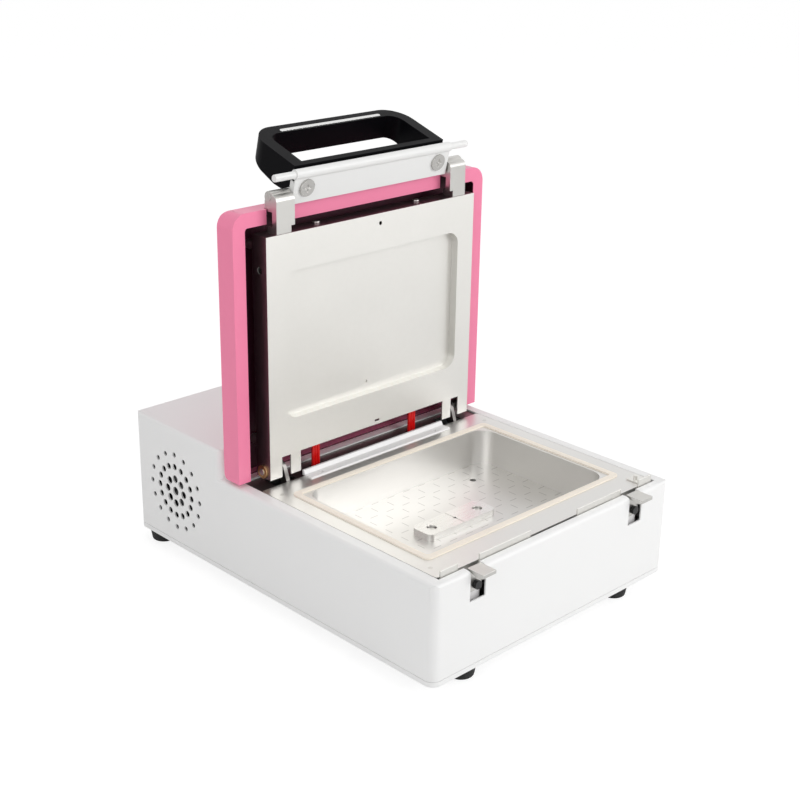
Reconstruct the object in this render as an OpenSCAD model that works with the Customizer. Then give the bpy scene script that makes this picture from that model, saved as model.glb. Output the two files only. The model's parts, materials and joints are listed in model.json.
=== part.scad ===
// Vacuum heat press: a box base with a sealed aluminium chamber, a hinged heater lid
// and a bail lever that hooks the closed lid under two latch tabs on the front edge.
// Inside the modules X is 0 on the machine's centre plane, Y is 0 on the case front
// and grows to the back, and Z is 0 on the seam between the case and its bottom tray.

/* [Case] */
// Width of the case
case_w = 300; // [300:1:330]
// Depth of the case, front to back
case_d = 400; // [400:1:440]
// Height of the front part above the seam
front_h = 86; // [84:1:100]
// How much taller the rear housing is than the front part
step_h = 28; // [24:1:40]
// Depth of the rear housing
rear_d = 132; // [126:1:140]
// Thickness of the sheet steel
wall = 1.5; // [1.2:0.1:2]
// Radius of the vertical corners
corner_r = 9; // [6:1:12]
// Radius of the folded top edges
edge_r = 4; // [3:0.5:5]
// Height of the bottom tray
base_tray_h = 5; // [4:0.5:8]
// Height of the rubber feet
foot_h = 13; // [8:1:16]

/* [Chamber] */
// Width of the vacuum chamber inside
cavity_w = 226; // [200:1:226]
// Depth of the vacuum chamber inside, front to back
cavity_d = 154; // [140:1:154]
// How far the chamber floor lies below its flange
cavity_deep = 35; // [25:1:38]
// Width of the silicone gasket
gasket_w = 6; // [4:0.5:6]

/* [Lid] */
// Thickness of the pink lid shell
lid_t = 21; // [19:0.5:22]
// Width of the lid's front lip
lip_w = 13; // [10:0.5:14]
// Depth of the pressed recess in the heater tray
recess_deep = 8; // [4:0.5:8]

/* [Lever] */
// Diameter of the lever's cross rod
rod_d = 6.4; // [5.6:0.1:6.4]
// Reach of the handle behind the lever plate
handle_reach = 67; // [58:1:75]
// Height of the handle's band
handle_band = 25; // [20:1:27]
// How far the lever leans forward from the vertical when the lid is open
lever_tilt = 14; // [10:0.5:16]

/* [Vent] */
// Distance between the rings of vent holes
vent_pitch = 12.2; // [10:0.1:12.2]
// Diameter of the middle vent hole
vent_hole_d = 8.5; // [7:0.5:8.5]

/* [Hidden] */
$fn = 48;

half_w = case_w / 2;
rear_h = front_h + step_h;
step_y = case_d - rear_d;
sheet = 1.2;
gap = 0.3;
sides = [-1, 1];

// The hinge axis, and the place of a point of the open lid once the lid is closed
hinge_y = step_y - 30;
hinge_z = front_h + 11.2;
fold = hinge_y + hinge_z;
// Heights on the open lid, from where their points lie on the closed one
lid_bottom = hinge_z - 7;
lid_top = fold - 4;
lid_face_y = hinge_y + 3;
lid_back_y = lid_face_y + lid_t;
tray_face_y = hinge_y - 9.5;
tray_depth = 19;
tray_back_y = tray_face_y + tray_depth;
tray_bottom = hinge_z - 6.2;
tray_top = fold - 24.2;
tray_w = 250;
cutout_w = 180;
cutout_top = tray_bottom + 19.5;

// The heating plate behind the pan
heat_y = tray_face_y + recess_deep + sheet;
heat_z0 = tray_bottom + 56;
heat_z1 = heat_z0 + 127;

// Hinge parts, measured from the centre plane
arm_x = 106.5;
arm_t = 4;
hinge_pin_r = 3;
running = 0.05;
slot_w = 10;
slot_top = tray_bottom + 19;

// Chamber
chamber_rear = hinge_y - 12;
flange_w = case_w - 25;
flange_t = 7;
cavity_y0 = 42.5;
cavity_r = 16;
chamber_wall = 3.5;
cavity_floor = front_h - cavity_deep;
groove_deep = 3;
gasket_gap = 3.6;
gasket_top = hinge_z - 9.5 - gap;
port_x = 74;
port_y = 170;
post_x = flange_w / 2 - 8.5;
post_ys = [26, 208];

// Latches
latch_x = 101;
latch_w = 15;
latch_slot_w = 18;
latch_slot_bottom = front_h - 27.4;
hook_t = 2.5;
hook_y = 3;
hook_tip_y = -12;
hook_top = front_h + 0.5;
hook_screw_z = front_h - 15;
strip_y = 9;
strip_t = 1.5;
strip_top = front_h + 5.6;
chamber_front = strip_y + strip_t;

// Lever: places are u to the back and v upwards from the pivot, turned by the tilt
pivot_y = hinge_y + 1;
pivot_z = fold + 6;
pin_r = 3;
clevis_x = 103;
clevis_half = 10;
clevis_front = pivot_y - 10;
clevis_back = pivot_y + 5.5;
knuckle_r = 5.5;
leaf_t = 6;
clevis_foot = tray_top + 6;
plate_half = 91.7;
plate_t = 1.2;
plate_u = -6;
plate_v0 = -7.4;
rod_u = -4;
rod_v = 19;
rod_half = 114;
// The rod swings on this radius, and the latch tabs stay inside its sweep
rod_swing = norm([rod_u, rod_v]);
hook_r = rod_swing - rod_d / 2 - 0.15;
closed_pivot_y = fold - pivot_z;
closed_pivot_z = pivot_y - hinge_y + hinge_z;
grip_half = 88;
grip_t = 12;
grip_r = 24;
bar_slope_v = rod_v + 5;
bar_slope = atan2(handle_band + 4 - bar_slope_v, handle_reach);
grip_front_t = 12;
screw_x = 78;
screw_v = 6.4;

// Electrical pieces under the chamber, and the heater leads
lead_r = 1.5;
lead_gap = 2.4;
supply_y1 = 130;
terminal_y = 256;

// Rear housing
vent_y = step_y + 70;
vent_z = 51.4;
vent_rings = [[8, 1, 0.88], [16, 2, 0.73], [16, 3, 0.58]];
fan_size = 80;
fan_t = 25;
fan_bore_r = 37.5;
pump_y = step_y + 70;
pump_r = 27;
pump_z = 34;
panel_x = 25;
panel_y = step_y + 62;
panel_w = 120;
panel_d = 84;
button_y = panel_y - 26;
inlet_x = 100;
inlet_z = 40;
switch_x = 45;
switch_z = 40;
rocker_tilt = 7;

// The part stands on its feet, centred on its own footprint
front_reach = -hook_tip_y;
rear_reach = 2;
mid_y = (case_d + rear_reach - front_reach) / 2;
base_h = base_tray_h + foot_h;

module place() {
  translate([0, -mid_y, base_h]) children();
}

// A rectangle from corner [x0, y0] to [x1, y1] with round corners
module round_rect(x0, y0, x1, y1, r) {
  translate([x0 + r, y0]) square([x1 - x0 - 2 * r, y1 - y0]);
  translate([x0, y0 + r]) square([x1 - x0, y1 - y0 - 2 * r]);
  for (x = [x0 + r, x1 - r], y = [y0 + r, y1 - r]) translate([x, y]) circle(r);
}

// A rectangle standing on the x axis with its two upper corners round
module arch(x0, x1, y0, y1, r) {
  translate([x0, y0]) square([x1 - x0, y1 - y0 - r]);
  translate([x0 + r, y0]) square([x1 - x0 - 2 * r, y1 - y0]);
  for (x = [x0 + r, x1 - r]) translate([x, y1 - r]) circle(r);
}

// Extrudes an outline drawn in Y and Z along X, from x0 to x1
module along_x(x0, x1) {
  translate([x0, 0, 0]) rotate([90, 0, 90]) linear_extrude(x1 - x0) children();
}

// Extrudes an outline drawn in X and Z along Y, from y0 to y1
module along_y(y0, y1) {
  translate([0, y1, 0]) rotate([90, 0, 0]) linear_extrude(y1 - y0) children();
}

module rod_x(x0, x1, r) {
  translate([x0, 0, 0]) rotate([0, 90, 0]) cylinder(r = r, h = x1 - x0);
}

module rod_y(y0, y1, r) {
  translate([0, y0, 0]) rotate([-90, 0, 0]) cylinder(r = r, h = y1 - y0);
}

module box(x0, y0, z0, x1, y1, z1) {
  translate([x0, y0, z0]) cube([x1 - x0, y1 - y0, z1 - z0]);
}

// A block with round upright corners and round top edges
module case_block(w, y0, y1, z0, z1, rv, re) {
  intersection() {
    translate([0, 0, z0]) linear_extrude(z1 - z0) round_rect(-w / 2, y0, w / 2, y1, rv);
    along_x(-w / 2, w / 2) arch(y0, y1, z0, z1, re);
    along_y(y0, y1) arch(-w / 2, w / 2, z0, z1, re);
  }
}

module vent_holes(x0, x1) {
  translate([0, vent_y, vent_z]) {
    rod_x(x0, x1, vent_hole_d / 2);
    for (ring = vent_rings, i = [0 : ring[0] - 1])
      rotate([i * 360 / ring[0], 0, 0])
        translate([0, 0, ring[1] * vent_pitch]) rod_x(x0, x1, vent_hole_d / 2 * ring[2]);
  }
}

module case_shell() {
  color("white") place() difference() {
    union() {
      case_block(case_w, 0, case_d, 0, front_h, corner_r, edge_r);
      case_block(case_w, step_y, case_d, 0, rear_h, corner_r, edge_r);
    }
    case_block(case_w - 2 * wall, wall, case_d - wall, -1, front_h - wall, corner_r - wall,
      edge_r - wall);
    case_block(case_w - 2 * wall, step_y + wall, case_d - wall, -1, rear_h - wall,
      corner_r - wall, edge_r - wall);
    // Opening for the chamber and the hinge
    box(-half_w + 12, strip_y - 1, front_h - 10, half_w - 12, hinge_y + 14, front_h + 1);
    for (s = sides) {
      // Latch slot, open to the top
      box(s * latch_x - latch_slot_w / 2, -1, latch_slot_bottom,
        s * latch_x + latch_slot_w / 2, wall + 1, front_h + 1);
      box(s * latch_x - latch_slot_w / 2, -1, front_h - 8,
        s * latch_x + latch_slot_w / 2, strip_y, front_h + 1);
      // Screw holes in the back
      for (z = [12, rear_h - 14])
        translate([s * (half_w - 14), 0, z]) rod_y(case_d - 4, case_d + 1, 1.7);
    }
    vent_holes(-half_w - 1, -half_w + wall + 1);
    // Air outlets on the right side
    for (i = [0 : 6]) box(half_w - wall - 1, vent_y - 30 + i * 10, 22, half_w + 1, vent_y - 26 + i * 10, 78);
    // Inlet and switch openings
    box(inlet_x - 14, case_d - 4, inlet_z - 11.5, inlet_x + 14, case_d + 1, inlet_z + 11.5);
    box(switch_x - 9.5, case_d - 4, switch_z - 13.5, switch_x + 9.5, case_d + 1, switch_z + 13.5);
    // Display and button openings under the panel
    box(panel_x - 28, panel_y - 2, rear_h - 4, panel_x + 28, panel_y + 26, rear_h + 1);
    for (b = [-42 : 21 : 21]) translate([panel_x + b, button_y, rear_h - 4]) cylinder(r = 6.2, h = 6);
    translate([panel_x + 44, button_y, rear_h - 4]) cylinder(r = 9.2, h = 6);
  }
}

module tray_outline(inset) {
  round_rect(-half_w + inset, inset, half_w - inset, case_d - inset, corner_r - inset);
}

module bottom_tray() {
  lip_gap = 0.2;
  color("whitesmoke") place() difference() {
    union() {
      translate([0, 0, -base_tray_h]) linear_extrude(base_tray_h - 0.4) tray_outline(0);
      // A lip that locates the case from inside
      translate([0, 0, -base_tray_h]) linear_extrude(base_tray_h + 4) tray_outline(wall + lip_gap);
    }
    translate([0, 0, -base_tray_h + wall]) linear_extrude(base_tray_h + 4)
      tray_outline(2 * wall + lip_gap);
    foot_places() translate([0, 0, -base_tray_h - 1]) cylinder(r = 2.2, h = 4);
    for (x = [-60 : 12 : 60]) box(x, 110, -base_tray_h - 1, x + 5, 160, 0);
  }
}

// The rear feet stand nearer the sides than the front ones
module foot_places() {
  for (s = sides) {
    translate([s * (half_w - 50), 17, 0]) children();
    translate([s * (half_w - 16), case_d - 17, 0]) children();
  }
}

module rubber_feet() {
  color("dimgray") place() foot_places() difference() {
    translate([0, 0, -base_h]) rotate_extrude()
      polygon([[0, 0], [10.5, 0], [11.5, 1], [13.5, foot_h], [0, foot_h]]);
    translate([0, 0, -base_h - 1]) cylinder(r = 4.5, h = foot_h - 1);
    translate([0, 0, -base_h]) cylinder(r = 2.2, h = foot_h + 1);
  }
}

module foot_screws() {
  color("silver") place() foot_places() {
    translate([0, 0, -base_tray_h - 2]) cylinder(r = 2, h = 6);
    translate([0, 0, -base_tray_h - 4.4]) cylinder(r = 4, h = 2.4);
  }
}

module cavity_outline(grow) {
  round_rect(-cavity_w / 2 - grow, cavity_y0 - grow, cavity_w / 2 + grow,
    cavity_y0 + cavity_d + grow, cavity_r + grow);
}

module gasket_ring(z0, z1, slack) {
  translate([0, 0, z0]) linear_extrude(z1 - z0) difference() {
    round_rect(-cavity_w / 2 - gasket_gap - gasket_w - slack, cavity_y0 - gasket_w - 1 - slack,
      cavity_w / 2 + gasket_gap + gasket_w + slack, cavity_y0 + cavity_d + gasket_w + 1 + slack, 5);
    round_rect(-cavity_w / 2 - gasket_gap + slack, cavity_y0 - 1 + slack,
      cavity_w / 2 + gasket_gap - slack, cavity_y0 + cavity_d + 1 - slack, 3);
  }
}

module vacuum_chamber() {
  color("silver") place() difference() {
    union() {
      translate([0, 0, front_h - flange_t]) linear_extrude(flange_t)
        round_rect(-flange_w / 2, chamber_front, flange_w / 2, chamber_rear, 3);
      translate([0, 0, cavity_floor - 5]) linear_extrude(cavity_deep + 5 - flange_t / 2)
        cavity_outline(chamber_wall);
    }
    translate([0, 0, cavity_floor]) linear_extrude(cavity_deep + 1) cavity_outline(0);
    gasket_ring(front_h - groove_deep, front_h + 1, 0);
    // Vacuum port, post screws and block screws
    translate([port_x, port_y, cavity_floor - 6]) cylinder(r = 3, h = 8);
    for (s = sides, y = post_ys) translate([s * post_x, y, front_h - flange_t - 1]) cylinder(r = 2, h = 9);
    for (x = [-36, 22]) translate([x, 116, cavity_floor - 4]) cylinder(r = 2, h = 5);
  }
}

module chamber_gasket() {
  color("antiquewhite") place() gasket_ring(front_h - groove_deep, gasket_top, 0);
}

module chamber_posts() {
  color("silver") place() for (s = sides, y = post_ys) translate([s * post_x, y, -base_tray_h + wall]) {
    cylinder(r = 4.5, h = front_h - flange_t + base_tray_h - wall);
    translate([0, 0, front_h - flange_t + base_tray_h - wall]) cylinder(r = 2, h = flange_t);
  }
}

// Upright strips along the chamber's front edge, with gaps for the lever clevises
module front_strips() {
  color("gainsboro") place() {
    for (x = [[-135, -115.5], [-90.5, -29], [31, 90.5]])
      box(x[0], strip_y, front_h - 6, x[1], strip_y + strip_t, strip_top);
    box(115.5, strip_y, front_h - 6, 134, strip_y + strip_t, strip_top + 1);
    box(120, strip_y + strip_t, front_h, 134, 26, front_h + 1.4);
    translate([124, 19, front_h + 1.4]) cylinder(r = 1.8, h = 4);
  }
}

// A rail behind the gasket. It stands up behind the closed tray's cutout, clear of its edge.
module rear_rail() {
  rail_y = chamber_rear - 0.8;
  color("white") place() difference() {
    along_x(-88, 88) polygon([
      [rail_y - 9.7, front_h], [rail_y + 3.8, front_h], [rail_y + 3.8, front_h + 4.8],
      [rail_y + 1.8, front_h + 4.8], [rail_y, front_h + 1.3], [rail_y - 8.7, front_h + 1.3],
      [rail_y - 9.7, front_h + 0.4]
    ]);
    for (s = sides) translate([s * 72, rail_y - 4.7, front_h - 1]) cylinder(r = 1.6, h = 4);
  }
}

// Closes the gap between the chamber and the case behind it, with slots for the heater leads
module hinge_cover() {
  cover_z = front_h - wall - sheet - 0.1;
  color("gainsboro") place() difference() {
    box(-half_w + 13, chamber_rear + gap, cover_z, half_w - 13, hinge_y + 18, cover_z + sheet);
    for (s = sides) box(s * arm_x - 12, chamber_rear, cover_z - 1, s * arm_x + 12, hinge_y + 8,
      cover_z + sheet + 1);
    for (x = [-66, 56]) box(x - 3, hinge_y - 1, cover_z - 1, x + 9.4, hinge_y + 5, cover_z + sheet + 1);
  }
}

module locating_block() {
  color("silver") place() difference() {
    translate([0, 0, cavity_floor]) linear_extrude(6.5) round_rect(-49, 104, 35, 129, 6);
    for (x = [-36, 22]) translate([x, 116, cavity_floor]) {
      translate([0, 0, -1]) cylinder(r = 2.2, h = 9);
      translate([0, 0, 2.5]) cylinder(r = 4.5, h = 5);
    }
    translate([-7, 116, cavity_floor + 3]) cylinder(r = 1.5, h = 5);
    box(-7.4, 103, cavity_floor + 6, -6.6, 130, cavity_floor + 7);
  }
}

module block_screws() {
  color("dimgray") place() for (x = [-36, 22]) translate([x, 116, cavity_floor]) {
    translate([0, 0, -3.5]) cylinder(r = 2, h = 6.5);
    translate([0, 0, 2.5]) cylinder(r = 3.8, h = 2.2);
  }
}

// A tab over the front edge on a shank that hangs in the slot. Its underside is curved round
// the closed lever's pivot, so that the rod swings in under it.
module latch_hook(x) {
  color("silver") place() difference() {
    along_x(x - latch_w / 2, x + latch_w / 2) {
      intersection() {
        translate([hook_tip_y, front_h - 10]) square([hook_y + 0.1 - hook_tip_y, hook_top - front_h + 10]);
        translate([closed_pivot_y, closed_pivot_z]) circle(hook_r);
      }
      translate([hook_y, hook_screw_z - 6]) square([hook_t, hook_top - hook_screw_z + 6]);
    }
    translate([x, 0, hook_screw_z]) rod_y(2, 7, 2);
  }
}

module latch_hook_left() { latch_hook(-latch_x); }
module latch_hook_right() { latch_hook(latch_x); }

// Brackets under the chamber flange that the latch hooks are screwed to
module latch_brackets() {
  bracket_y = hook_y + hook_t;
  color("gainsboro") place() for (s = sides) difference() {
    union() {
      box(s * latch_x - 8, bracket_y, latch_slot_bottom - 4, s * latch_x + 8, bracket_y + 4,
        front_h - flange_t);
      box(s * latch_x - 8, bracket_y, front_h - flange_t - 3, s * latch_x + 8, 30, front_h - flange_t);
    }
    translate([s * latch_x, 0, hook_screw_z]) rod_y(5, 12, 2);
  }
}

module latch_screws() {
  color("black") place() for (s = sides) translate([s * latch_x, 0, hook_screw_z]) {
    rod_y(hook_y - 0.1, 10, 2);
    rod_y(hook_y - 3.8, hook_y, 3.8);
  }
}

// Hooked arms that carry the hinge pins, bolted to the chamber's rear face
module hinge_arms() {
  color("darkgray") place() for (s = sides) difference() {
    union() {
      box(s * arm_x - 11, chamber_rear, front_h - flange_t - 8, s * arm_x + 11, chamber_rear + 3,
        front_h - 1.2);
      along_x(s * arm_x - arm_t / 2, s * arm_x + arm_t / 2) {
        translate([hinge_y, hinge_z]) circle(6);
        polygon([[chamber_rear, front_h - 12], [chamber_rear, front_h - 1], [chamber_rear + 5, hinge_z + 1.5],
          [hinge_y - 3.6, hinge_z + 4.8], [hinge_y + 5.4, hinge_z - 2.6], [chamber_rear + 7, front_h - 6],
          [chamber_rear + 5, front_h - 12]]);
      }
    }
    translate([0, hinge_y, hinge_z]) rod_x(s * arm_x - 6, s * arm_x + 6, hinge_pin_r);
  }
}

module hinge_pins() {
  color("silver") place() for (s = sides) translate([0, hinge_y, hinge_z]) {
    rod_x(s * 114.8 - 12.8, s * 114.8 + 12.8, hinge_pin_r);
  }
}

// Close-wound return springs beside the arms: one ring for each turn
module hinge_springs() {
  color("dimgray") place() for (s = sides, i = [0 : 4])
    translate([s * 111 + (s > 0 ? 0 : -9) + i * 1.9, hinge_y, hinge_z]) difference() {
      rod_x(0, 1.6, 5.2);
      rod_x(-1, 3, 3.6);
    }
}

// Fan behind the round vent
module fan_frame() {
  color("dimgray") place() difference() {
    union() {
      difference() {
        box(-half_w + wall, vent_y - fan_size / 2, vent_z - fan_size / 2, -half_w + wall + fan_t,
          vent_y + fan_size / 2, vent_z + fan_size / 2);
        translate([0, vent_y, vent_z]) rod_x(-half_w, -half_w + 40, fan_bore_r);
      }
      translate([0, vent_y, vent_z]) {
        rod_x(-half_w + wall + fan_t - 4, -half_w + wall + fan_t, 16);
        for (a = [0 : 90 : 270]) rotate([a + 45, 0, 0])
          box(-half_w + wall + fan_t - 3, -2, 14, -half_w + wall + fan_t, 2, fan_bore_r + 1);
      }
    }
    translate([0, vent_y, vent_z]) rod_x(-half_w, -half_w + 40, 2.05);
    for (y = sides, z = sides)
      translate([0, vent_y + y * 35.8, vent_z + z * 35.8]) rod_x(-half_w, -half_w + 40, 2);
  }
}

module fan_rotor() {
  color("black") place() translate([-half_w + wall, vent_y, vent_z]) {
    rod_x(3, fan_t - 4.6, 15);
    rod_x(fan_t - 4.7, fan_t - 0.5, 2);
    for (a = [0 : 51.43 : 330]) rotate([a, 0, 0]) translate([5, 0, 13]) rotate([0, 0, 38])
      translate([0, -1, 0]) cube([15, 2, 22.5]);
  }
}

module fan_screws() {
  color("silver") place() for (y = sides, z = sides)
    translate([-half_w + wall, vent_y + y * 35.8, vent_z + z * 35.8]) {
      rod_x(0, fan_t + 0.1, 1.9);
      rod_x(fan_t, fan_t + 2, 3.2);
    }
}

// Diaphragm pump: motor, head and rubber mounts
module pump_motor() {
  color("silver") place() translate([0, pump_y, pump_z]) {
    rod_x(-78, -8, pump_r);
    rod_x(-84, -78, 12);
  }
}

module pump_head() {
  color("dimgray") place() difference() {
    union() {
      box(-8, pump_y - 28, 4, 30, pump_y + 28, 66);
      translate([6, pump_y, 66]) cylinder(r = 20, h = 14);
      for (z = [24, 50]) translate([20, 0, z]) rod_y(pump_y - 50, pump_y - 28, 4);
    }
    for (z = [24, 50]) translate([20, 0, z]) rod_y(pump_y - 51, pump_y - 20, 2);
  }
}

module pump_mounts() {
  color("black") place() {
    for (x = [0, 22], s = sides) translate([x, pump_y + s * 20, -base_tray_h + wall])
      cylinder(r = 6, h = 4 + base_tray_h - wall);
    difference() {
      box(-60, pump_y - 22, -base_tray_h + wall, -30, pump_y + 22, pump_z - 12);
      translate([0, pump_y, pump_z]) rod_x(-62, -28, pump_r);
    }
  }
}

// Hose from the chamber's floor port down, back and into the pump
module vacuum_hose() {
  color("lightgray") place() {
    translate([port_x, port_y, cavity_floor - 17]) difference() {
      cylinder(r = 5, h = 12);
      translate([0, 0, -1]) cylinder(r = 3, h = 14);
    }
    translate([port_x, port_y + 10, cavity_floor - 17]) rotate([0, 90, 0]) rotate([0, 0, -90])
      rotate_extrude(angle = 90) translate([10, 0]) difference() {
        circle(5);
        circle(3);
      }
    translate([port_x, 0, cavity_floor - 27]) difference() {
      rod_y(port_y + 10, pump_y - 52, 5);
      rod_y(port_y + 9, pump_y - 51, 3);
    }
  }
}

module release_valve() {
  color("royalblue") place() {
    box(port_x - 16, pump_y - 52, -base_tray_h + wall, port_x + 16, pump_y - 32, 38);
    translate([port_x, pump_y - 42, 38]) cylinder(r = 9, h = 26);
    translate([0, pump_y - 46, 24]) difference() {
      rod_x(24, port_x - 16, 4);
      rod_x(23, port_x - 15, 2);
    }
  }
}

module control_board() {
  color("green") place() {
    box(panel_x - 56, panel_y - 38, rear_h - 16, panel_x + 56, panel_y + 38, rear_h - 14.4);
    for (b = [-42 : 21 : 21])
      translate([panel_x + b, button_y, rear_h - 14.4]) cylinder(r = 3, h = 5.9);
    translate([panel_x + 44, button_y, rear_h - 14.4]) cylinder(r = 3, h = 5.9);
    for (x = sides, y = sides) translate([panel_x + x * 52, panel_y + y * 34, rear_h - 14.4])
      cylinder(r = 2.5, h = 12.9);
  }
}

module control_panel() {
  color("lightgray") place() difference() {
    translate([0, 0, rear_h]) linear_extrude(1.2)
      round_rect(panel_x - panel_w / 2, panel_y - panel_d / 2, panel_x + panel_w / 2,
        panel_y + panel_d / 2, 5);
    box(panel_x - 27, panel_y - 1, rear_h - 1, panel_x + 27, panel_y + 25, rear_h + 2);
    for (b = [-42 : 21 : 21]) translate([panel_x + b, button_y, rear_h - 1]) cylinder(r = 5.4, h = 4);
    translate([panel_x + 44, button_y, rear_h - 1]) cylinder(r = 8.4, h = 4);
  }
}

module display_window() {
  color("black") place() {
    box(panel_x - 26.8, panel_y - 0.8, rear_h - 3, panel_x + 26.8, panel_y + 24.8, rear_h + 0.9);
    box(panel_x - 24, panel_y + 2, rear_h - 14.4, panel_x + 24, panel_y + 22, rear_h - 3);
  }
}

module button(b, r) {
  color("silver") place() translate([panel_x + b, button_y, rear_h]) {
    translate([0, 0, -0.2]) cylinder(r = r - 0.3, h = 3.2);
    // A flange under the panel keeps it in
    translate([0, 0, -1.8]) cylinder(r = r + 0.4, h = 1.7);
    translate([0, 0, -7]) cylinder(r = 2.5, h = 6);
  }
}

module button_set() { button(-42, 5.4); }
module button_up() { button(-21, 5.4); }
module button_down() { button(0, 5.4); }
module button_start() { button(44, 8.4); }

module power_supply() {
  color("silver") place() difference() {
    box(-120, supply_y1 - 100, -base_tray_h + wall, -30, supply_y1, 32);
    box(-118.8, supply_y1 - 98.8, 0, -31.2, supply_y1 - 1.2, 30.8);
    for (x = [-110 : 12 : -50]) box(x, supply_y1 - 85, 30, x + 4, supply_y1 - 15, 33);
  }
}

module heater_relay() {
  color("black") place() {
    box(92, pump_y - 30, -base_tray_h + wall, 136, pump_y + 30, 0);
    box(95, pump_y - 28, 0, 133, pump_y + 28, 24);
    for (x = [103, 125], y = sides) translate([x, pump_y + y * 22, 24]) cylinder(r = 3.5, h = 3);
  }
}

module power_inlet() {
  color("black") place() difference() {
    union() {
      box(inlet_x - 13.5, case_d - 24, inlet_z - 11, inlet_x + 13.5, case_d, inlet_z + 11);
      box(inlet_x - 24, case_d, inlet_z - 13, inlet_x + 24, case_d + rear_reach, inlet_z + 13);
    }
    box(inlet_x - 11, case_d - 17, inlet_z - 7.5, inlet_x + 11, case_d + 3, inlet_z + 7.5);
    for (s = sides) translate([inlet_x + s * 20, 0, inlet_z]) rod_y(case_d - 1, case_d + 3, 1.7);
  }
}

module switch_frame() {
  color("black") place() difference() {
    union() {
      box(switch_x - 9.3, case_d - 20, switch_z - 13.3, switch_x + 9.3, case_d, switch_z + 13.3);
      box(switch_x - 11, case_d, switch_z - 15, switch_x + 11, case_d + 1.5, switch_z + 15);
    }
    box(switch_x - 7.5, case_d - 14, switch_z - 11.5, switch_x + 7.5, case_d + 2, switch_z + 11.5);
  }
  // The pin that the rocker turns on
  color("black") place() translate([0, case_d - 8, switch_z]) rod_x(switch_x - 7.5, switch_x + 7.5, 1.5);
}

// The rocker rests on its lower half, which is the off position
module power_rocker() {
  color("red") place() difference() {
    translate([0, case_d - 8, switch_z]) rotate([rocker_tilt, 0, 0])
      along_x(switch_x - 7.2, switch_x + 7.2) polygon([
        [-1, -8], [0, -10], [6, -10.2], [9.6, -9], [8.4, 0], [9.6, 9], [6, 10.2], [0, 10], [-1, 8]
      ]);
    translate([0, case_d - 8, switch_z]) rod_x(switch_x - 8, switch_x + 8, 1.55);
  }
}

module rear_screws() {
  color("silver") place() for (s = sides, z = [12, rear_h - 14]) translate([s * (half_w - 14), 0, z]) {
    rod_y(case_d - 8, case_d + 0.1, 1.6);
    rod_y(case_d, case_d + 1.6, 3);
  }
}

// Heater leads: the base half ends just under the hinge axis, the lid half just over it.
// The left bundle runs forward to the power supply and the right one back to the terminals.
module lead_places() {
  for (i = [0 : 2]) {
    translate([-66 + i * 3.2, hinge_y + 2, 0]) children(0);
    translate([56 + i * 3.2, hinge_y + 2, 0]) children(1);
  }
}

module base_lead(y0, y1) {
  floor_z = -base_tray_h + wall + lead_r;
  cylinder(r = lead_r, h = hinge_z - lead_gap);
  translate([0, 0, floor_z]) cylinder(r = lead_r, h = -floor_z + 1);
  translate([0, 0, floor_z]) rod_y(y0, y1, lead_r);
  translate([0, 0, floor_z]) sphere(r = lead_r);
}

module wires_base() {
  color("red") place() lead_places() {
    base_lead(supply_y1 - hinge_y - 2, 0);
    base_lead(0, terminal_y - hinge_y - 2);
  }
}

module heater_terminals() {
  color("gainsboro") place() difference() {
    box(48, terminal_y, -base_tray_h + wall, 74, terminal_y + 16, 10);
    for (x = [52 : 6 : 70]) translate([x, terminal_y + 8, 4]) cylinder(r = 2, h = 8);
  }
}

module lid_profile(grow, r) {
  translate([-half_w - grow, lid_bottom]) square([case_w + 2 * grow, 20]);
  arch(-half_w - grow, half_w + grow, lid_bottom, lid_top + grow, r);
}

module lid_shell() {
  color("hotpink") place() difference() {
    intersection() {
      along_y(lid_face_y, lid_back_y) lid_profile(0, 14);
      along_x(-half_w, half_w) union() {
        translate([lid_face_y, lid_bottom]) square([lid_t - 5, lid_top - lid_bottom]);
        translate([lid_face_y, lid_bottom + 5]) square([lid_t, lid_top - lid_bottom - 10]);
        for (z = [lid_bottom + 5, lid_top - 5]) translate([lid_back_y - 5, z]) circle(5);
      }
    }
    // Hollow, then the front opening inside the lip
    along_y(lid_face_y + wall, lid_back_y - wall) difference() {
      lid_profile(-wall, 12.5);
      translate([-half_w, lid_bottom - 1]) square([case_w, 1 + wall]);
    }
    along_y(lid_face_y - 1, lid_face_y + wall + 1)
      arch(-half_w + lip_w, half_w - lip_w, lid_bottom - 1, lid_top - lip_w, 3);
    // The bottom edge is open in front for the hinge and the heater leads
    box(-half_w + lip_w, lid_face_y - 1, lid_bottom - 1, half_w - lip_w, lid_face_y + 12, lid_bottom + 6);
    for (s = sides) {
      // Notches for the lever clevises
      box(s * clevis_x - clevis_half - 0.8, lid_face_y - 1, lid_top - lip_w - 1,
        s * clevis_x + clevis_half + 0.8, clevis_back + 0.8, lid_top + 1);
      for (z = [tray_bottom + 30, tray_top - 12])
        translate([s * 118, 0, z]) rod_y(lid_back_y - 3, lid_back_y + 1, 2);
    }
  }
}

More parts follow.
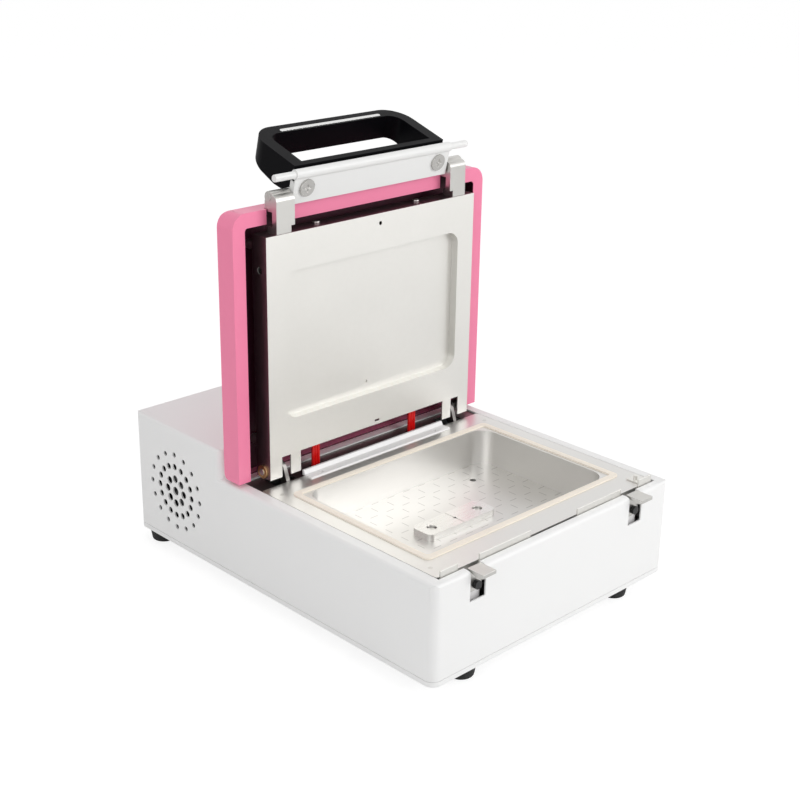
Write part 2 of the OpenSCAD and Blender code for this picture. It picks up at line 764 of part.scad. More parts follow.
// Pressed heater pan: recessed front, folded sides, a wide cut-out and two hinge slots
module heater_tray() {
  recess_w = 210;
  recess_z0 = tray_bottom + 52.5;
  recess_z1 = recess_z0 + 134;
  color("lightgray") place() difference() {
    union() {
      difference() {
        box(-tray_w / 2, tray_face_y, tray_bottom, tray_w / 2, tray_back_y, tray_top);
        box(-tray_w / 2 + sheet, tray_face_y + sheet, tray_bottom - 1, tray_w / 2 - sheet,
          tray_back_y + 1, tray_top - sheet);
      }
      along_y(tray_face_y, tray_face_y + recess_deep + sheet)
        round_rect(-recess_w / 2 - sheet, recess_z0 - sheet, recess_w / 2 + sheet, recess_z1 + sheet, 13);
      // Folded rear lips that take the posts
      for (s = sides) box(s * (tray_w / 2 - 6) - 6, tray_back_y - sheet, tray_bottom + 20,
        s * (tray_w / 2 - 6) + 6, tray_back_y, tray_top);
    }
    along_y(tray_face_y - 1, tray_face_y + recess_deep)
      round_rect(-recess_w / 2, recess_z0, recess_w / 2, recess_z1, 12);
    box(-cutout_w / 2, tray_face_y - 1, tray_bottom - 1, cutout_w / 2, tray_face_y + 3, cutout_top);
    for (s = sides) {
      box(s * arm_x - slot_w / 2, tray_face_y - 1, tray_bottom - 1, s * arm_x + slot_w / 2,
        tray_face_y + 3, slot_top);
      translate([0, hinge_y, hinge_z]) rod_x(s * 124.4 - 3, s * 124.4 + 3, 4.5);
      translate([0, hinge_y, tray_top - 30]) rod_x(s * 124.4 - 3, s * 124.4 + 3, 3);
      for (z = [tray_bottom + 30, tray_top - 12])
        translate([s * 118, 0, z]) rod_y(tray_back_y - 4, tray_back_y + 1, 2);
      translate([s * 60, tray_face_y + 12, tray_top - 3]) cylinder(r = 1.6, h = 5);
    }
    translate([5, 0, tray_top - 9]) rod_y(tray_face_y - 1, tray_face_y + 3, 1.8);
    translate([-4, 0, recess_z0 + 9]) rod_y(tray_face_y - 1, tray_face_y + recess_deep + 3, 1.6);
    box(0, tray_face_y - 1, cutout_top + 3, 6, tray_face_y + 3, cutout_top + 5);
  }
}

module heating_plate() {
  color("silver") place() difference() {
    box(-98, heat_y, heat_z0, 98, heat_y + 3, heat_z1);
    for (s = sides, z = [heat_z0 + 10, heat_z1 - 10])
      translate([s * 88, 0, z]) rod_y(heat_y - 1, heat_y + 4, 2);
  }
}

module heater_mat() {
  color("peru") place() box(-92, heat_y + 3, heat_z0 + 3, 92, heat_y + 4.4, heat_z1 - 3);
}

module insulation_pad() {
  color("white") place() box(-106, tray_back_y + 1, heat_z0 - 8, 106, lid_back_y - wall, heat_z1 + 8);
}

// Posts that join the heater tray to the lid shell
module tray_posts() {
  color("silver") place() for (s = sides, z = [tray_bottom + 30, tray_top - 12])
    translate([s * 118, 0, z]) rod_y(tray_back_y, lid_back_y - wall, 4.5);
}

module tray_screws() {
  color("silver") place() {
    for (s = sides, z = [tray_bottom + 30, tray_top - 12]) translate([s * 118, 0, z]) {
      rod_y(lid_back_y - wall, lid_back_y + 0.1, 1.9);
      rod_y(lid_back_y, lid_back_y + 1.6, 3.4);
      rod_y(tray_back_y - 4.2, tray_back_y - sheet, 3.2);
      rod_y(tray_back_y - sheet - 0.1, tray_back_y, 1.9);
    }
    for (s = sides) translate([s * 60, tray_face_y + 12, tray_top]) {
      translate([0, 0, -4]) cylinder(r = 1.5, h = 4.1);
      cylinder(r = 3.2, h = 1.6);
    }
  }
}

module hinge_bushes() {
  color("goldenrod") place() for (s = sides) translate([0, hinge_y, hinge_z]) difference() {
    union() {
      rod_x(s * 124.2 - 2.2, s * 124.2 + 2.2, 4.5);
      rod_x(s * 125.9 - 0.9, s * 125.9 + 0.9, 6.2);
    }
    rod_x(s * 124 - 6, s * 124 + 6, hinge_pin_r + running);
  }
}

// Clevises that stand on the heater tray and pass through the lid's front lip
module lever_clevises() {
  color("gainsboro") place() for (s = sides) difference() {
    union() {
      along_x(s * clevis_x - clevis_half, s * clevis_x + clevis_half) {
        translate([clevis_front, clevis_foot]) square([leaf_t, pivot_z - clevis_foot - knuckle_r]);
        translate([clevis_front, pivot_z - 12]) square([clevis_back - clevis_front, 12 - knuckle_r / 2]);
        translate([clevis_front + knuckle_r, pivot_z - knuckle_r / 2]) circle(knuckle_r);
        translate([pivot_y, pivot_z]) circle(knuckle_r);
      }
      box(s * (clevis_x + 2) - 8, clevis_front, tray_top, s * (clevis_x + 2) + 8, pivot_y + 3, clevis_foot);
    }
    translate([0, pivot_y, pivot_z]) rod_x(s * clevis_x - 12, s * clevis_x + 12, pin_r);
  }
}

module lever_pins() {
  color("silver") place() for (s = sides) translate([0, pivot_y, pivot_z])
    rod_x(s * 101.3 - 12.1, s * 101.3 + 12.1, pin_r);
}

module thermostat() {
  color("black") place() {
    box(-14, tray_face_y + 6, heat_z1 + 8, 14, tray_face_y + 16, heat_z1 + 26);
    translate([0, 0, heat_z1 + 17]) rod_y(tray_face_y + 1.2, tray_face_y + 6, 8);
  }
}

// Runs from just over the base half to the heating plate's lower edge
module lid_lead() {
  lead_z = hinge_z - lead_gap + 0.4;
  translate([0, 0, lead_z]) cylinder(r = lead_r, h = heat_z0 - gap - lead_z);
}

module wires_lid() {
  color("red") place() lead_places() {
    lid_lead();
    lid_lead();
  }
}

// The lever's own frame: the pivot at the origin, Y to the back and Z upwards
module lever_frame() {
  place() translate([0, pivot_y, pivot_z]) rotate([lever_tilt, 0, 0]) children();
}

module lever_plate() {
  color("white") lever_frame() difference() {
    union() {
      box(-plate_half, plate_u, plate_v0, plate_half, plate_u + plate_t, rod_v - rod_d / 2);
      // The top edge rolls round the rod
      translate([0, rod_u, rod_v]) rod_x(-plate_half, plate_half, rod_d / 2 + plate_t);
      // Ears with the pivot holes
      for (s = sides) along_x(s * 90.95 - 0.75, s * 90.95 + 0.75) {
        circle(5.5);
        translate([plate_u, -5.5]) square([-plate_u, 18]);
      }
    }
    translate([0, rod_u, rod_v]) rod_x(-100, 100, rod_d / 2);
    rod_x(-100, 100, pin_r + running);
    for (s = sides) translate([s * screw_x, 0, screw_v]) rod_y(plate_u - 1, plate_u + 3, 2.5);
  }
}

module lever_rod() {
  color("white") lever_frame() translate([0, rod_u, rod_v]) rod_x(-rod_half, rod_half, rod_d / 2);
}

module trim_outline() {
  round_rect(-59, -1.8, 59, 1.8, 1.75);
}

// Outline of the bail handle from above: a band with a straight front bar
module grip_outline(inset, front) {
  round_rect(-grip_half + inset, front, grip_half - inset, handle_reach - inset, grip_r - inset);
  translate([-grip_half + inset, front]) square([2 * (grip_half - inset), handle_reach / 2 - front]);
}

module handle_grip() {
  bar_top = rod_v - rod_d / 2 - plate_t - 0.5;
  bar_u = rod_u + rod_d / 2 + plate_t + 1;
  color("black") lever_frame() difference() {
    intersection() {
      translate([0, 0, -2]) linear_extrude(handle_band + 8) difference() {
        grip_outline(0, plate_u + plate_t);
        grip_outline(grip_t, plate_u + plate_t + grip_front_t);
      }
      // The band rises to the back, and its front end stays under the rod
      along_x(-grip_half, grip_half) polygon([
        [plate_u + plate_t, -2], [24, -2], [42, 2], [handle_reach - 8, 8], [handle_reach, 13],
        [handle_reach, handle_band + 4],
        [bar_u, bar_slope_v], [bar_u, bar_top], [plate_u + plate_t, bar_top]
      ]);
    }
    for (s = sides) translate([s * screw_x, 0, screw_v]) rod_y(plate_u, plate_u + 12, 2);
    // Seat of the trim strip
    intersection() {
      translate([0, handle_reach - 9, 0]) linear_extrude(60) trim_outline();
      translate([0, handle_reach, handle_band + 4]) rotate([bar_slope, 0, 0]) box(-60, -25, -1.5, 60, 10, 3);
    }
  }
}

module handle_trim() {
  color("silver") lever_frame() intersection() {
    translate([0, handle_reach - 9, 0]) linear_extrude(60) trim_outline();
    translate([0, handle_reach, handle_band + 4]) rotate([bar_slope, 0, 0]) box(-60, -25, -1.5, 60, 10, 0.6);
  }
}

// Large cross-head screws that hold the handle to the lever plate
module handle_screws() {
  color("silver") lever_frame() for (s = sides) translate([s * screw_x, 0, screw_v]) difference() {
    union() {
      rod_y(plate_u - 0.1, plate_u + 10, 2);
      rod_y(plate_u - 2, plate_u, 7.8);
    }
    for (a = [0, 90]) rotate([0, a, 0]) box(-3.5, plate_u - 3, -0.7, 3.5, plate_u - 1, 0.7);
  }
}

case_shell();
bottom_tray();
rubber_feet();
foot_screws();
vacuum_chamber();
chamber_gasket();
chamber_posts();
front_strips();
rear_rail();
hinge_cover();
locating_block();
block_screws();
latch_hook_left();
latch_hook_right();
latch_brackets();
latch_screws();
hinge_arms();
hinge_pins();
hinge_springs();
fan_frame();
fan_rotor();
fan_screws();
pump_motor();
pump_head();
pump_mounts();
vacuum_hose();
release_valve();
control_board();
control_panel();
display_window();
button_set();
button_up();
button_down();
button_start();
power_supply();
heater_relay();
heater_terminals();
power_inlet();
switch_frame();
power_rocker();
rear_screws();
wires_base();
lid_shell();
heater_tray();
heating_plate();
heater_mat();
insulation_pad();
tray_posts();
tray_screws();
hinge_bushes();
lever_clevises();
lever_pins();
thermostat();
wires_lid();
lever_plate();
lever_rod();
handle_grip();
handle_trim();
handle_screws();
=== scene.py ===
"""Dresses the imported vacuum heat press: soft edges on its solids, its finishes, lights and camera."""
import json
from math import cos, radians, sin

import bmesh
import bpy
from mathutils import Matrix, Vector


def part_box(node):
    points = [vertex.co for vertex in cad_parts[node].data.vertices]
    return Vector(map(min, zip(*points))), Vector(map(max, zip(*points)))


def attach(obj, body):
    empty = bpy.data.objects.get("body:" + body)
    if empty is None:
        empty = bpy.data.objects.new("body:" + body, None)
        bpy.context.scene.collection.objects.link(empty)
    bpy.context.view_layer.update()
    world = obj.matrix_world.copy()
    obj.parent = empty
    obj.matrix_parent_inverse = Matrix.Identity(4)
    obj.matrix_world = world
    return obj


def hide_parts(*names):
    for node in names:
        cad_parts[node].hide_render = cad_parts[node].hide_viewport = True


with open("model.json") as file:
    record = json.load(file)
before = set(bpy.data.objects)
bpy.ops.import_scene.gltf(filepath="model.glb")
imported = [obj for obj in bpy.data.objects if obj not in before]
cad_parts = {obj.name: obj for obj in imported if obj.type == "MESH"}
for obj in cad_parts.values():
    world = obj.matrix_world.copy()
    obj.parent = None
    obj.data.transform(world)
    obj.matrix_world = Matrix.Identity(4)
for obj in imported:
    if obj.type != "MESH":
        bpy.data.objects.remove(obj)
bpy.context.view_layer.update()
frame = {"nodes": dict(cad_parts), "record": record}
body_of_node = {
    node: body
    for body, nodes in frame["record"]["behaviour"]["bodies"].items()
    for node in nodes
}
slot_of_node = {part["node"]: part["material_slot"] for part in frame["record"]["subparts"]}
MM = 0.001
# Edges sharper than this get a round, and finished pieces are smooth up to the next angle
SHARP_ANGLE = radians(34)
SMOOTH_ANGLE = radians(32)
# Rounds over this width in mm are made of more segments
WIDE_ROUND = 1.2


# Finishes

class Value:
    """A socket of a finish. Arithmetic on it adds Math nodes to the finish's tree."""

    def __init__(self, finish, socket):
        self.finish = finish
        self.socket = socket

    def math(self, operation, *values):
        return self.finish.add("ShaderNodeMath", {"operation": operation}, dict(enumerate(values)))

    def __add__(self, other):
        return self.math("ADD", self, other)

    def __sub__(self, other):
        return self.math("SUBTRACT", self, other)

    def __mul__(self, other):
        return self.math("MULTIPLY", self, other)

    def __truediv__(self, other):
        return self.math("DIVIDE", self, other)

    def __gt__(self, other):
        return self.math("GREATER_THAN", self, other)

    def __lt__(self, other):
        return self.math("LESS_THAN", self, other)

    def __abs__(self):
        return self.math("ABSOLUTE", self)

    def fraction(self):
        return self.math("FRACT", self)


class Finish:
    """A material round one Principled shader, with the nodes that its patterns need."""

    def __init__(self, name, colour, roughness, metallic=0.0, **fixed):
        self.material = bpy.data.materials.new(name)
        self.material.use_nodes = True
        self.tree = self.material.node_tree
        self.shader = self.tree.nodes["Principled BSDF"]
        self.colour = (*colour, 1.0)
        self.roughness = roughness
        self.set("Base Color", self.colour)
        self.set("Roughness", roughness)
        self.set("Metallic", metallic)
        for socket, value in fixed.items():
            self.set(socket.replace("_", " ").title().replace("Ior", "IOR"), value)

    def set(self, socket, value):
        self.feed(self.shader.inputs[socket], value)

    def feed(self, socket, value):
        if isinstance(value, Value):
            self.tree.links.new(value.socket, socket)
        else:
            socket.default_value = value

    def add(self, kind, settings=None, sockets=None, output=0):
        node = self.tree.nodes.new(kind)
        for setting, value in (settings or {}).items():
            setattr(node, setting, value)
        for socket, value in (sockets or {}).items():
            self.feed(node.inputs[socket], value)
        return Value(self, node.outputs[output])

    def place(self, stretch=(1, 1, 1)):
        """Object coordinates, which stay with the piece, stretched along the axes."""
        where = self.add("ShaderNodeTexCoord", output=3)
        return self.add("ShaderNodeMapping", {}, {"Vector": where, "Scale": stretch})

    def axis(self, letter):
        return self.add("ShaderNodeSeparateXYZ", {}, {0: self.place()}, "XYZ".index(letter))

    def noise(self, scale, detail=2.0, stretch=(1, 1, 1), rough=0.5):
        return self.add("ShaderNodeTexNoise", {}, {
            "Vector": self.place(stretch), "Scale": scale, "Detail": detail, "Roughness": rough})

    def vary_colour(self, mask, other):
        """Mixes the finish's colour towards another one where mask is 1."""
        node = self.tree.nodes.new("ShaderNodeMix")
        node.data_type = "RGBA"
        self.feed(node.inputs["Factor"], mask)
        node.inputs[6].default_value = self.colour
        node.inputs[7].default_value = (*other, 1.0)
        self.set("Base Color", Value(self, node.outputs[2]))

    def vary_roughness(self, noise, spread):
        self.set("Roughness", (noise - 0.5) * spread + self.roughness)

    def bump(self, height, strength, distance):
        self.set("Normal", self.add("ShaderNodeBump", {}, {
            "Height": height, "Strength": strength, "Distance": distance}))


def darker(colour, share):
    return tuple(part * share for part in colour)


def powder_coat(name, colour, roughness):
    """Stove enamel with a fine orange-peel skin and slight handling marks."""
    coat = Finish(name, colour, roughness, coat_weight=0.15, coat_roughness=0.3)
    skin = coat.noise(1400, 1.0)
    coat.vary_colour(coat.noise(9, 3.0) * 0.35, darker(colour, 0.94))
    coat.vary_roughness(coat.noise(60, 4.0), 0.12)
    coat.bump(skin, 0.12, 0.00008)
    return coat.material


def brushed(name, colour, roughness, along="x", shade=0.82, line=0.18):
    """Metal with fine lines along one axis."""
    stretch = {"x": (0.02, 1, 1), "y": (1, 0.02, 1), "z": (1, 1, 0.02)}[along]
    metal = Finish(name, colour, roughness, 1.0)
    lines = metal.noise(2600, 3.0, stretch)
    metal.vary_colour(metal.noise(12, 4.0, stretch) * 0.6, darker(colour, shade))
    metal.vary_roughness(lines, 0.22)
    metal.bump(lines, line, 0.00003)
    return metal.material


def satin_metal(name, colour, roughness):
    """Blasted or anodised metal with an even fine grain."""
    metal = Finish(name, colour, roughness, 1.0)
    metal.vary_colour(metal.noise(14, 5.0) * 0.5, darker(colour, 0.88))
    metal.vary_roughness(metal.noise(180, 4.0), 0.14)
    metal.bump(metal.noise(3200, 2.0), 0.10, 0.00003)
    return metal.material


def moulded(name, colour, roughness, grain=1600, depth=0.2, **fixed):
    """Moulded plastic or rubber with a fine eroded grain."""
    plastic = Finish(name, colour, roughness, 0.0, **fixed)
    plastic.vary_colour(plastic.noise(30, 3.0) * 0.5, darker(colour, 0.8))
    plastic.vary_roughness(plastic.noise(90, 4.0), 0.12)
    plastic.bump(plastic.noise(grain, 2.0), depth, 0.00006)
    return plastic.material


def scribed_chamber():
    """Milled aluminium, with a grid of short dashes engraved in the chamber's floor."""
    colour = (0.75, 0.74, 0.72)
    metal = Finish("milled_chamber", colour, 0.38, 1.0)
    lines = metal.noise(2400, 3.0, (0.03, 1, 1))
    across = metal.axis("X")
    deep = metal.axis("Y")
    up = metal.axis("Z")
    pitch = 20 * MM
    half_dash, half_line = 0.22, 0.02
    dash_a = (abs((across / pitch).fraction() - 0.5) < half_dash) * (
        abs((deep / pitch + 0.5).fraction() - 0.5) < half_line)
    dash_b = (abs((deep / pitch).fraction() - 0.5) < half_dash) * (
        abs((across / pitch + 0.5).fraction() - 0.5) < half_line)
    on_floor = (up < floor_height + 0.5 * MM) * (up > floor_height - 0.5 * MM)
    dashes = (dash_a + dash_b) * on_floor
    streaks = metal.noise(12, 4.0, (0.05, 1, 1))
    metal.vary_colour(dashes * 0.6 + streaks * 0.2, (0.34, 0.33, 0.32))
    metal.vary_roughness(lines, 0.20)
    metal.bump(lines * 0.1 - dashes, 0.25, 0.00006)
    return metal.material


def felted():
    """A pad of matted fibres."""
    fibre = Finish("fibre_pad", (0.86, 0.84, 0.78), 0.95)
    strands = fibre.noise(500, 6.0, (1, 1, 0.3), 0.7)
    fibre.vary_colour(strands, (0.68, 0.65, 0.58))
    fibre.bump(strands, 0.6, 0.0004)
    return fibre.material


def solder_mask():
    """Green lacquer over raised copper tracks."""
    board = Finish("solder_mask", (0.02, 0.18, 0.07), 0.32, coat_weight=0.4)
    tracks = abs((board.axis("X") / (4 * MM)).fraction() - 0.5) < 0.08
    board.vary_colour(tracks * (board.noise(120, 1.0) > 0.5), (0.05, 0.32, 0.14))
    board.bump(tracks, 0.2, 0.00005)
    return board.material


floor_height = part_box("locating_block")[0][2]

finishes = {
    "case_white": powder_coat("white_enamel", (0.90, 0.90, 0.895), 0.42),
    "lid_pink": powder_coat("pink_enamel", (0.95, 0.24, 0.41), 0.36),
    "chamber_alu": scribed_chamber(),
    "tray_alu": satin_metal("satin_tray", (0.76, 0.75, 0.72), 0.50),
    "steel": satin_metal("satin_steel", (0.62, 0.61, 0.585), 0.34),
    "bright": brushed("bright_steel", (0.80, 0.80, 0.79), 0.16, "x", 0.9, 0.05),
    "silicone": moulded("silicone_cord", (0.98, 0.90, 0.79), 0.55, 900, 0.2, sheen_weight=0.2),
    "black_rubber": moulded("foot_rubber", (0.018, 0.018, 0.018), 0.75, 1200, 0.4),
    "black_plastic": moulded("black_plastic", (0.012, 0.012, 0.014), 0.34, 2200, 0.12),
    "white_plastic": moulded("white_plastic", (0.78, 0.78, 0.77), 0.42),
    "panel": moulded("panel_film", (0.70, 0.71, 0.73), 0.30, 2600, 0.1),
    "display": moulded("display_glass", (0.006, 0.007, 0.010), 0.08, 3000, 0.01, coat_weight=0.6),
    "brass": brushed("turned_brass", (0.72, 0.52, 0.24), 0.30, "y"),
    "board": solder_mask(),
    "red_wire": moulded("red_lead", (0.90, 0.006, 0.006), 0.35, 700, 0.1),
    "hose": moulded("silicone_hose", (0.72, 0.74, 0.76), 0.40, 500, 0.1, sheen_weight=0.1),
    "valve_blue": moulded("valve_body", (0.03, 0.09, 0.36), 0.42),
    "red_plastic": moulded("red_key", (0.62, 0.012, 0.010), 0.25, 2600, 0.08),
    "fibre": felted(),
    "mat": moulded("heater_mat", (0.62, 0.22, 0.08), 0.6, 600, 0.4),
}
enamel_lever = powder_coat("lever_enamel", (0.84, 0.84, 0.83), 0.34)
white_rail = powder_coat("rail_enamel", (0.87, 0.86, 0.86), 0.34)
handle_black = moulded(
    "handle_plastic", (0.003, 0.003, 0.004), 0.36, 2600, 0.05, specular_ior_level=0.05)
# Painted reflection and shade: a dark pinkish metal for the heater tray's folded sides and top
tray_side_painted_reflection = satin_metal("tray_side_painted_reflection", (0.30, 0.22, 0.24), 0.34)
# Painted shade: a dark maroon for the inside faces of the lid's shell
lid_inside_painted_shade = moulded("lid_inside_painted_shade", (0.070, 0.006, 0.022), 0.6, 1200, 0.1)
dark_steel = satin_metal("dark_steel", (0.24, 0.23, 0.22), 0.36)

finish_of_node = {
    "lever_plate": enamel_lever,
    "lever_rod": enamel_lever,
    "handle_grip": handle_black,
    "rear_rail": white_rail,
    "hinge_arms": dark_steel,
    "hinge_cover": dark_steel,
    "latch_brackets": white_rail,
    "handle_screws": satin_metal("screw_heads", (0.56, 0.55, 0.53), 0.28),
    "heating_plate": satin_metal("plate_metal", (0.76, 0.75, 0.72), 0.36),
    "locating_block": brushed("block_metal", (0.80, 0.79, 0.77), 0.30, "x"),
    "latch_screws": moulded("black_oxide", (0.012, 0.012, 0.012), 0.45, 1800, 0.3),
    "power_supply": satin_metal("supply_case", (0.60, 0.61, 0.62), 0.42),
    "pump_motor": brushed("motor_can", (0.55, 0.56, 0.57), 0.34, "x"),
}


# Pieces

def show(form, name, body, material):
    """Makes a finished piece of a bmesh: smooth over its soft edges, riding on a body."""
    mesh = bpy.data.meshes.new(name)
    form.to_mesh(mesh)
    form.free()
    mesh.shade_smooth()
    mesh.set_sharp_from_angle(angle=SMOOTH_ANGLE)
    mesh.materials.append(material)
    piece = bpy.data.objects.new(name, mesh)
    bpy.context.scene.collection.objects.link(piece)
    weigh = piece.modifiers.new("even_shading", "WEIGHTED_NORMAL")
    weigh.keep_sharp = True
    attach(piece, body)
    return piece


def soften(node, width):
    """Stands in for a CAD node with the same solid, its sharp edges broken by a round in mm."""
    form = bmesh.new()
    form.from_mesh(frame["nodes"][node].data)
    bmesh.ops.remove_doubles(form, verts=form.verts, dist=0.002 * MM)
    bmesh.ops.dissolve_limit(
        form, angle_limit=radians(0.5), verts=form.verts, edges=form.edges,
        use_dissolve_boundaries=False)
    if width > 0:
        sharp = [
            edge for edge in form.edges
            if edge.is_manifold and edge.calc_face_angle() > SHARP_ANGLE
        ]
        bmesh.ops.bevel(
            form, geom=sharp, offset=width * MM, offset_type="OFFSET",
            segments=4 if width > WIDE_ROUND else 2, profile=0.5, affect="EDGES",
            clamp_overlap=True, material=-1)
    slot = slot_of_node[node]
    finish = finish_of_node.get(node) or finishes[slot]
    piece = show(form, node + "_form", body_of_node[node], finish)
    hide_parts(node)
    return piece


# Width in mm of the round on each node's edges
edge_rounds = {
    "case_shell": 0.5, "bottom_tray": 0.5, "rubber_feet": 0.6, "foot_screws": 0.3,
    "vacuum_chamber": 0.5, "chamber_gasket": 0.9, "chamber_posts": 0.3, "front_strips": 0.3,
    "rear_rail": 0.4, "hinge_cover": 0.2, "locating_block": 0.6, "block_screws": 0.3,
    "latch_hook_left": 0.4, "latch_hook_right": 0.4, "latch_brackets": 0.4, "hinge_arms": 0.5,
    "hinge_pins": 0.4, "hinge_springs": 0.5, "fan_frame": 0.5, "fan_rotor": 0.3,
    "fan_screws": 0.3, "pump_motor": 1.5, "pump_head": 1.0, "pump_mounts": 0.6,
    "vacuum_hose": 0.0, "release_valve": 0.6, "control_board": 0.2, "control_panel": 0.3,
    "display_window": 0.2, "button_set": 0.5, "button_up": 0.5, "button_down": 0.5,
    "button_start": 0.6, "power_supply": 0.4, "heater_relay": 0.6, "heater_terminals": 0.5,
    "power_inlet": 0.6, "switch_frame": 0.5, "power_rocker": 0.4, "rear_screws": 0.5,
    "wires_base": 0.0, "lid_shell": 0.5, "heater_tray": 0.5, "heating_plate": 0.3,
    "heater_mat": 0.2, "insulation_pad": 1.5, "tray_posts": 0.3, "tray_screws": 0.4,
    "hinge_bushes": 0.3, "lever_clevises": 0.7, "lever_pins": 0.4, "thermostat": 0.5,
    "wires_lid": 0.0, "lever_plate": 0.3, "lever_rod": 0.8, "handle_grip": 4.5,
    "handle_trim": 0.1, "handle_screws": 0.4, "latch_screws": 0.3,
}
shown = {node: soften(node, width) for node, width in edge_rounds.items()}

# Past these places, in metres, a face belongs to the sides, the top or the back of the lid
lid_side_x, lid_top_z, lid_back_y = 0.12, 0.30, 0.055

# The tray's folded sides and top get a darker, pinkish colour than its face: a painted reflection of
# the lid's dark pink inside, with painted shade
tray_mesh = shown["heater_tray"].data
tray_mesh.materials.append(tray_side_painted_reflection)
for face in tray_mesh.polygons:
    on_side = abs(face.normal.x) > 0.9 and abs(face.center.x) > lid_side_x
    if on_side or (face.normal.z > 0.9 and face.center.z > lid_top_z):
        face.material_index = 1

# The lid's shell gets painted shade inside, behind its front lip: a dark maroon in place of the shadow
# there
lid_mesh = shown["lid_shell"].data
lid_mesh.materials.append(lid_inside_painted_shade)
for face in lid_mesh.polygons:
    inward = face.normal.x * face.center.x < 0 and abs(face.normal.x) > 0.9
    under_top = face.normal.z < -0.9 and face.center.z > lid_top_z
    at_back = face.normal.y < -0.9 and face.center.y > lid_back_y
    if (inward and abs(face.center.x) > lid_side_x) or under_top or at_back:
        face.material_index = 1

# The handle's bright trim is a narrow frame round a dark slot
trim_mesh = shown["handle_trim"].data
trim_mesh.materials.append(handle_black)
trim = bmesh.new()
trim.from_mesh(trim_mesh)
top = max(trim.faces, key=lambda face: face.calc_area())
bmesh.ops.inset_region(trim, faces=[top], thickness=0.7 * MM, depth=-0.15 * MM)
top.material_index = 1
trim.to_mesh(trim_mesh)
trim.free()


# Marks on the panel: plain digits, key symbols and a status lamp

def mark(name, form, node, material):
    """Lays flat shapes, drawn in mm round the middle of a node, on the node's upper face."""
    low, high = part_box(node)
    middle = ((low[0] + high[0]) / 2, (low[1] + high[1]) / 2, high[2])
    bmesh.ops.transform(
        form, matrix=Matrix.Translation(middle) @ Matrix.Scale(MM, 4), verts=form.verts)
    return show(form, name, body_of_node[node], material)


def add_bar(form, x0, y0, x1, y1, height=0.12):
    """Adds a thin bar between two corners, in mm."""
    size = Matrix.Diagonal((x1 - x0, y1 - y0, height, 1))
    place = Matrix.Translation(((x0 + x1) / 2, (y0 + y1) / 2, height / 2))
    bmesh.ops.create_cube(form, size=1, matrix=place @ size)


digit_w, digit_h, stroke = 7, 13, 1.3
first_digit_x, digit_pitch = -15.5, 12
end_gap, mid_gap = 0.3, 0.2
half_h = digit_h / 2
strokes = {
    "a": (stroke, digit_h - stroke, digit_w - stroke, digit_h),
    "b": (digit_w - stroke, half_h + mid_gap, digit_w, digit_h - end_gap),
    "c": (digit_w - stroke, end_gap, digit_w, half_h - mid_gap),
    "d": (stroke, 0, digit_w - stroke, stroke),
    "e": (0, end_gap, stroke, half_h - mid_gap),
    "f": (0, half_h + mid_gap, stroke, digit_h - end_gap),
    "g": (stroke, half_h - stroke / 2, digit_w - stroke, half_h + stroke / 2),
}
lit = Finish("lit_digits", (0.9, 0.03, 0.02), 0.4, emission_strength=0.8)
lit.set("Emission Color", (1.0, 0.05, 0.03, 1.0))
ink = moulded("key_ink", (0.05, 0.05, 0.06), 0.5)
lens = moulded("lamp_lens", (0.85, 0.32, 0.02), 0.15, 3000, 0.02, coat_weight=0.4)

digits = bmesh.new()
for place, segments in enumerate(("bc", "abcdg", "abcdef")):
    for segment in segments:
        x0, y0, x1, y1 = strokes[segment]
        shift = first_digit_x + place * digit_pitch
        add_bar(digits, x0 + shift, y0 - half_h, x1 + shift, y1 - half_h)
mark("display_digits", digits, "display_window", lit.material)

for node, bars in {
    "button_set": ((-2, 1.2, 2, 1.8), (-2, -0.3, 2, 0.3), (-2, -1.8, 2, -1.2)),
    "button_up": ((-2.2, -0.35, 2.2, 0.35), (-0.35, -2.2, 0.35, 2.2)),
    "button_down": ((-2.2, -0.35, 2.2, 0.35),),
}.items():
    symbol = bmesh.new()
    for bar in bars:
        add_bar(symbol, *bar, height=0.06)
    mark(node + "_symbol", symbol, node, ink)

lamp = bmesh.new()
bmesh.ops.create_uvsphere(
    lamp, u_segments=40, v_segments=20, radius=5.1, matrix=Matrix.Diagonal((1, 1, 0.45, 1)))
panel_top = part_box("control_panel")[1][2]
down_low, down_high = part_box("button_down")
key_pitch = 21 * MM
lamp_place = (
    (down_low[0] + down_high[0]) / 2 + key_pitch, (down_low[1] + down_high[1]) / 2,
    panel_top - 0.4 * MM)
bmesh.ops.transform(
    lamp, matrix=Matrix.Translation(lamp_place) @ Matrix.Scale(MM, 4), verts=lamp.verts)
show(lamp, "status_lamp", "base", lens)


# Stage, light and camera

def pale_floor():
    """A white floor that the camera sees as mostly lit from within, with a soft shadow."""
    floor = Finish("pale_floor", (0.92, 0.92, 0.92), 0.9)
    glow = floor.add("ShaderNodeEmission", {}, {"Color": (1, 1, 1, 1), "Strength": 1.26})
    rays = floor.add("ShaderNodeLightPath", output=0)
    glow_share = 0.64
    shaded = Value(floor, floor.shader.outputs[0])
    mix = floor.add("ShaderNodeMixShader", {}, {0: rays * glow_share, 1: shaded, 2: glow})
    output = next(node for node in floor.tree.nodes if node.type == "OUTPUT_MATERIAL")
    floor.feed(output.inputs["Surface"], mix)
    return floor.material


def area_light(name, place, target, size, power):
    lamp = bpy.data.lights.new(name, "AREA")
    lamp.shape = "RECTANGLE"
    lamp.size, lamp.size_y = size
    lamp.energy = power
    holder = bpy.data.objects.new(name, lamp)
    holder.location = place
    holder.rotation_euler = (Vector(target) - Vector(place)).to_track_quat("-Z", "Y").to_euler()
    bpy.context.scene.collection.objects.link(holder)


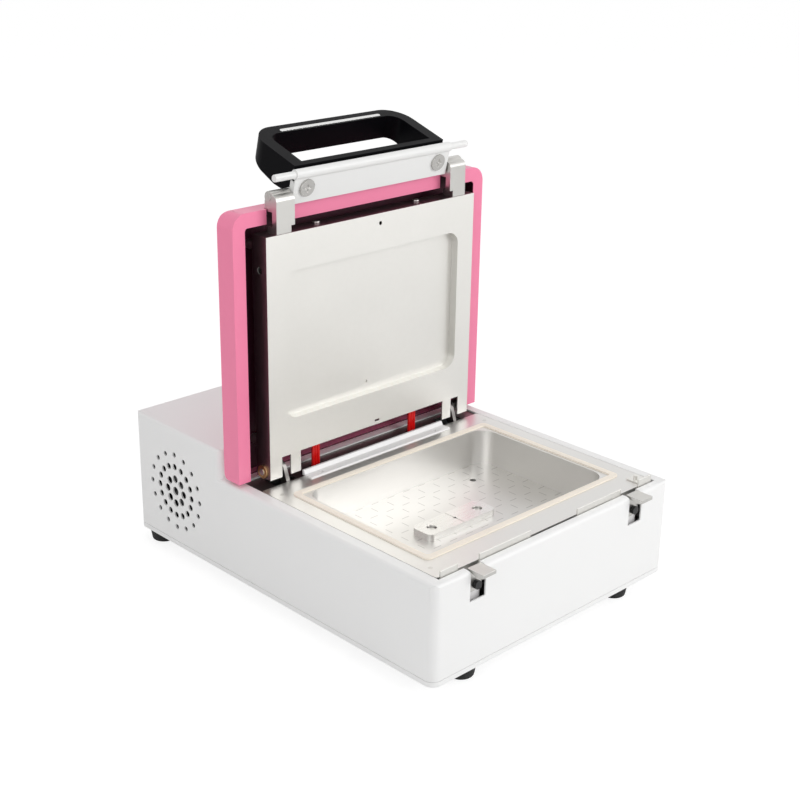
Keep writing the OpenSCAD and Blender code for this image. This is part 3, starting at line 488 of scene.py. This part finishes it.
ground = bmesh.new()
bmesh.ops.create_grid(ground, x_segments=1, y_segments=1, size=6)
floor_mesh = bpy.data.meshes.new("floor")
ground.to_mesh(floor_mesh)
ground.free()
floor_mesh.materials.append(pale_floor())
floor = bpy.data.objects.new("floor", floor_mesh)
bpy.context.scene.collection.objects.link(floor)

area_light("key", (0.9, -1.7, 1.0), (0, 0, 0.12), (1.2, 1.2), 16.5)
area_light("fill", (-1.6, -0.5, 0.9), (0, 0, 0.15), (1.2, 1.0), 5)
area_light("top", (0.0, 0.1, 1.9), (0, 0, 0.1), (1.4, 1.4), 4)

world = bpy.data.worlds.new("studio")
bpy.context.scene.world = world
world.use_nodes = True
sky = world.node_tree
backdrop = sky.nodes["Background"]
rays = sky.nodes.new("ShaderNodeLightPath")
seen = sky.nodes.new("ShaderNodeMath")
seen.operation = "MAXIMUM"
sky.links.new(rays.outputs["Is Camera Ray"], seen.inputs[0])
sky.links.new(rays.outputs["Is Glossy Ray"], seen.inputs[1])
# The sky lights the part less than the camera and reflections see it
level = sky.nodes.new("ShaderNodeMapRange")
level.inputs["To Min"].default_value = 0.54
level.inputs["To Max"].default_value = 1.0
sky.links.new(seen.outputs[0], level.inputs["Value"])
sky.links.new(level.outputs[0], backdrop.inputs["Strength"])
backdrop.inputs["Color"].default_value = (1, 1, 1, 1)

# The photograph's viewpoint: azimuth, elevation and roll of the camera, its place and its lens
azimuth, elevation, roll = radians(-44.306), radians(21.312), radians(0.904)
camera_place = (-0.8562, -0.8769, 0.6410)
back = Vector((sin(azimuth) * cos(elevation), -cos(azimuth) * cos(elevation), sin(elevation)))
side = Vector((0, 0, 1)).cross(back).normalized()
rise = back.cross(side)
right = cos(roll) * side + sin(roll) * rise
up = cos(roll) * rise - sin(roll) * side
eye = bpy.data.cameras.new("camera")
eye.sensor_width = 36
eye.lens = 65.27
camera = bpy.data.objects.new("camera", eye)
turn = Matrix((right, up, back)).transposed().to_4x4()
camera.matrix_world = Matrix.Translation(camera_place) @ turn
bpy.context.scene.collection.objects.link(camera)
bpy.context.scene.camera = camera
bpy.context.scene.view_settings.view_transform = "Standard"
